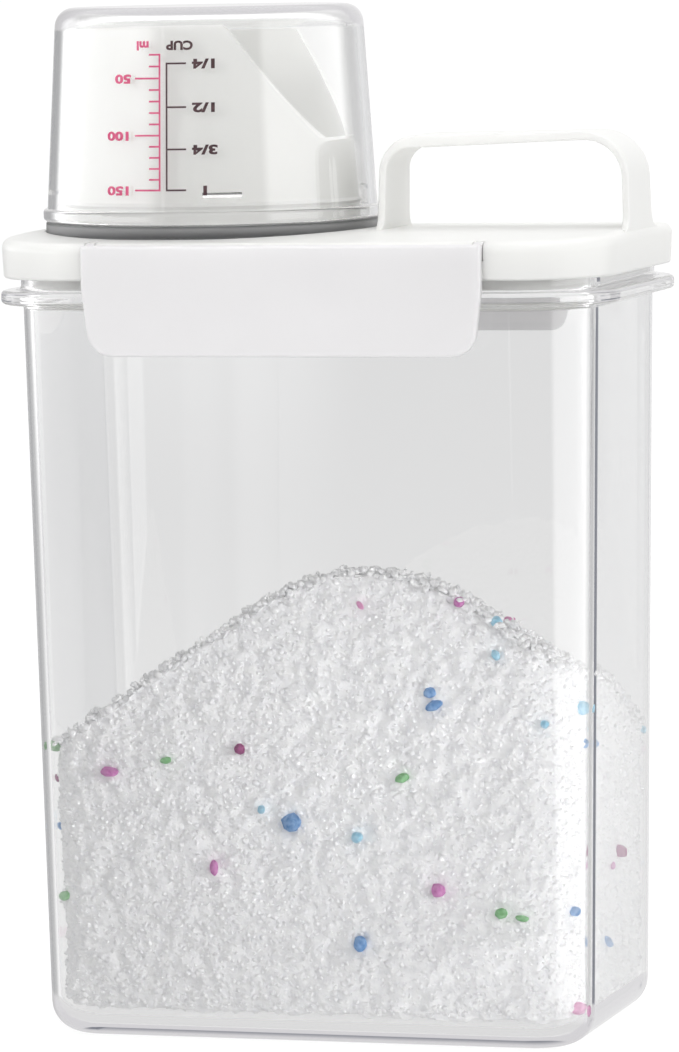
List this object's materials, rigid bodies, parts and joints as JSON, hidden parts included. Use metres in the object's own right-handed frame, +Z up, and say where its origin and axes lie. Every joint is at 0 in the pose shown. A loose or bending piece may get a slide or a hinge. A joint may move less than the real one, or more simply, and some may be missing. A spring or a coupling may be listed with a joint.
{
  "type": "laundry detergent dispenser",
  "caption": "Clear upright powder dispenser with a white clip-on pouring lid, arch handle, slanted spout and a clear measuring cup that caps it",
  "frame": {"origin": "centre of the tank's flat underside, on the surface that it stands on", "axes": "+Z up, +X along the lid from the measuring cup towards the handle, -Y the side of the front clip"},
  "size_m": [0.1484, 0.0998, 0.2406],
  "materials": {
    "clear_tank": "clear polished",
    "clear_cup": "clear polished",
    "white_lid": "soft gloss white",
    "white_clip": "soft gloss white",
    "clear_seal": "translucent silicone",
    "powder": "white granules"
  },
  "bodies": {
    "dispenser": {"tank": "clear_tank", "lid": "white_lid", "lid_gasket": "clear_seal", "cup_seal": "clear_seal", "powder_fill": "powder"},
    "front_clip": {"front_clip": "white_clip"},
    "back_clip": {"back_clip": "white_clip"},
    "cup": {"measuring_cup": "clear_cup"}
  },
  "joints": [
    {"name": "front_clip_hinge", "type": "hinge", "parent": "dispenser", "child": "front_clip", "pos_m": [0, -0.045, 0.1848], "axis": [-1, 0, 0], "range_deg": [0, 100]},
    {"name": "back_clip_hinge", "type": "hinge", "parent": "dispenser", "child": "back_clip", "pos_m": [0, 0.045, 0.1848], "axis": [1, 0, 0], "range_deg": [0, 100]},
    {"name": "cup_lift", "type": "slide", "parent": "dispenser", "child": "cup", "axis": [0, 0, 1], "range_m": [0, 0.08]}
  ]
}
